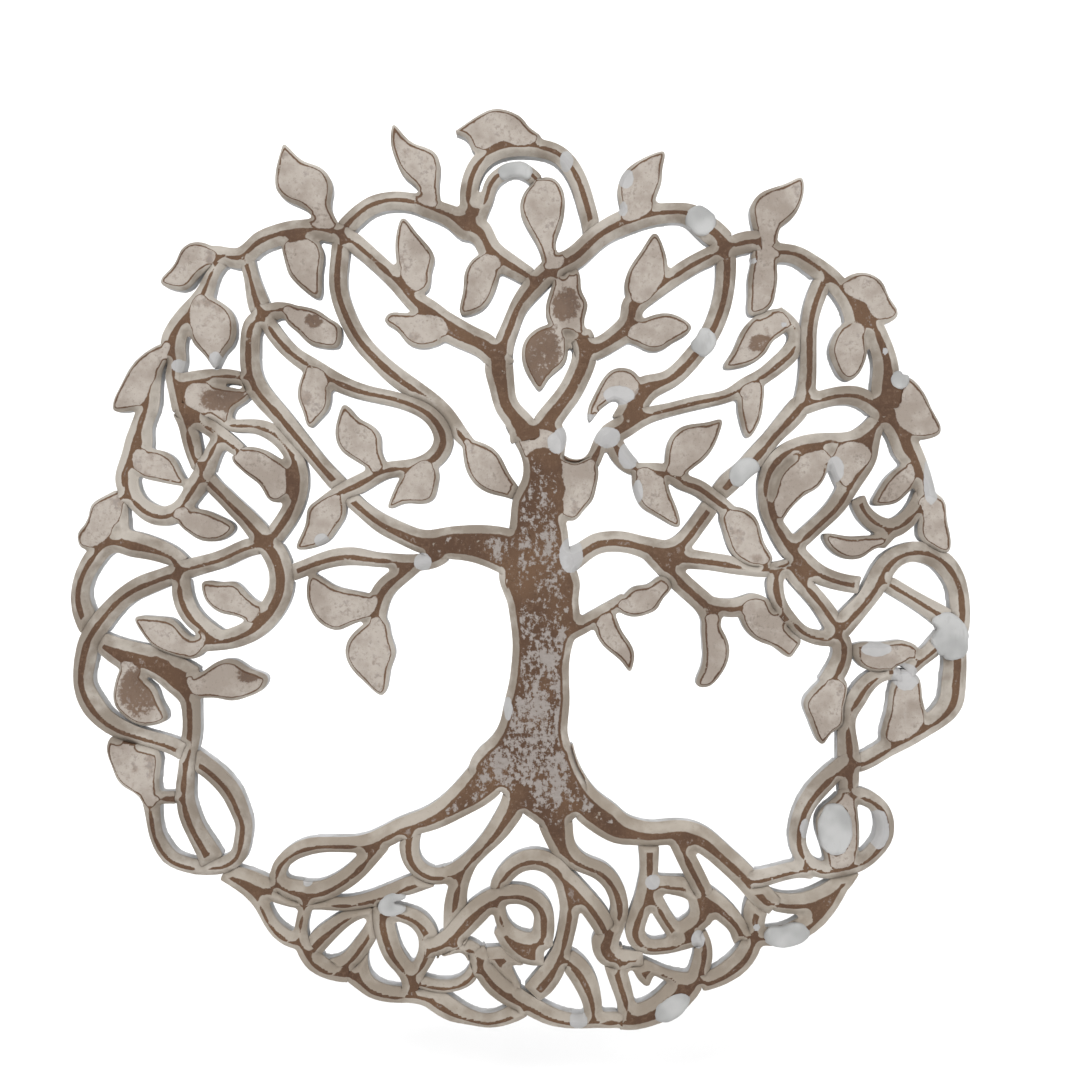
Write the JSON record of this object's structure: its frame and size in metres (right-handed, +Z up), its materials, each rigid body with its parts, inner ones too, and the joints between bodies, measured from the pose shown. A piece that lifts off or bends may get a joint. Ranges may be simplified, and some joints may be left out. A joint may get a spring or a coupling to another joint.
{
  "type": "tree of life wall plaque",
  "caption": "Pierced tree-of-life wall plaque: a trunk with looping boughs, leaves and roots in a flat board, bevelled, whitewashed and mended; hangs flat on a wall.",
  "frame": {"origin": "on the flat back of the trunk, in the plane that lies on the wall", "axes": "+Z up, +X to the viewer's right, +Y into the wall, so the carved front faces -Y"},
  "size_m": [0.599, 0.0188, 0.6135],
  "materials": {
    "board": "whitewashed and rubbed back",
    "filler": "matt filler paste",
    "steel": "plain plated sheet"
  },
  "bodies": {
    "root": {"crown_bough": "board", "crown_curl": "board", "hanger_pin_left": "steel", "hanger_pin_right": "steel", "hanger_plate": "steel", "left_bough": "board", "left_diagonal": "board", "left_hoop": "board", "left_rim": "board", "left_ring": "board", "left_rise": "board", "left_swing": "board", "left_twigs": "board", "left_wave": "board", "low_left_bough": "board", "lower_left_hoop": "board", "lower_right_hoop": "board", "mend_crown": "filler", "mend_crown_bough": "filler", "mend_hoop_leaf": "filler", "mend_right_arm": "filler", "mend_right_drop": "filler", "mend_right_leaf": "filler", "mend_right_rim": "filler", "mend_root_left": "filler", "mend_root_low": "filler", "mend_root_right": "filler", "outer_left_loop": "board", "right_arm": "board", "right_bough": "board", "right_cross": "board", "right_drop": "board", "right_hook": "board", "right_hoop": "board", "right_inner": "board", "right_lift": "board", "right_loop": "board", "right_low_rim": "board", "right_post": "board", "right_rim": "board", "right_swag": "board", "root_arch": "board", "root_arm_left": "board", "root_left_eye": "board", "root_left_hook": "board", "root_long": "board", "root_low_left": "board", "root_low_right": "board", "root_main_right": "board", "root_mid_left": "board", "root_middle": "board", "root_outer_right": "board", "root_ring_right": "board", "root_spiral": "board", "root_sweep_left": "board", "root_tap": "board", "top_left_drop": "board", "top_left_rail": "board", "trunk": "board", "upper_right_rail": "board"}
  },
  "joints": []
}
